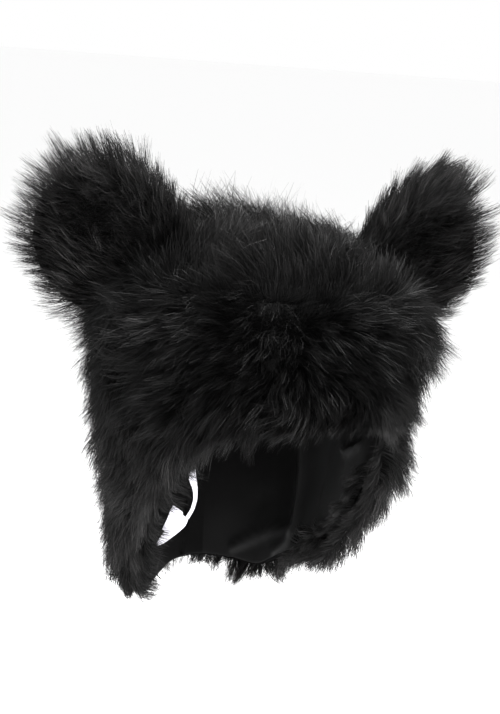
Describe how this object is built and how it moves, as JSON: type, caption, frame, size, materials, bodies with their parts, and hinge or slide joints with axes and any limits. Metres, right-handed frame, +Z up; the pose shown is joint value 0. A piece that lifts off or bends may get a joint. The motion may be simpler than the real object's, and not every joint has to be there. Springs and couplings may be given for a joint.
{
  "type": "plush animal hat",
  "caption": "Long-pile fur hood with round cupped ears, hanging ear flaps and a satin lining, open at the face and below for a head.",
  "frame": {"origin": "inside of the crown's top, where a head bears on the lining", "axes": "-Y is the face opening, +X is the wearer's left, +Z is up, away from the head"},
  "size_m": [0.2947, 0.2399, 0.2882],
  "materials": {
    "black_fur": "long, soft, slightly glossy pile, combed in locks",
    "black_satin": "smooth woven satin with soft folds",
    "white_ribbon": "white satin ribbon, blank"
  },
  "bodies": {
    "root": {"lining": "black_satin", "front_panel": "black_fur", "back_panel": "black_fur", "ear_left": "black_fur", "ear_right": "black_fur", "care_label": "white_ribbon", "hanging_loop": "white_ribbon"}
  },
  "joints": []
}
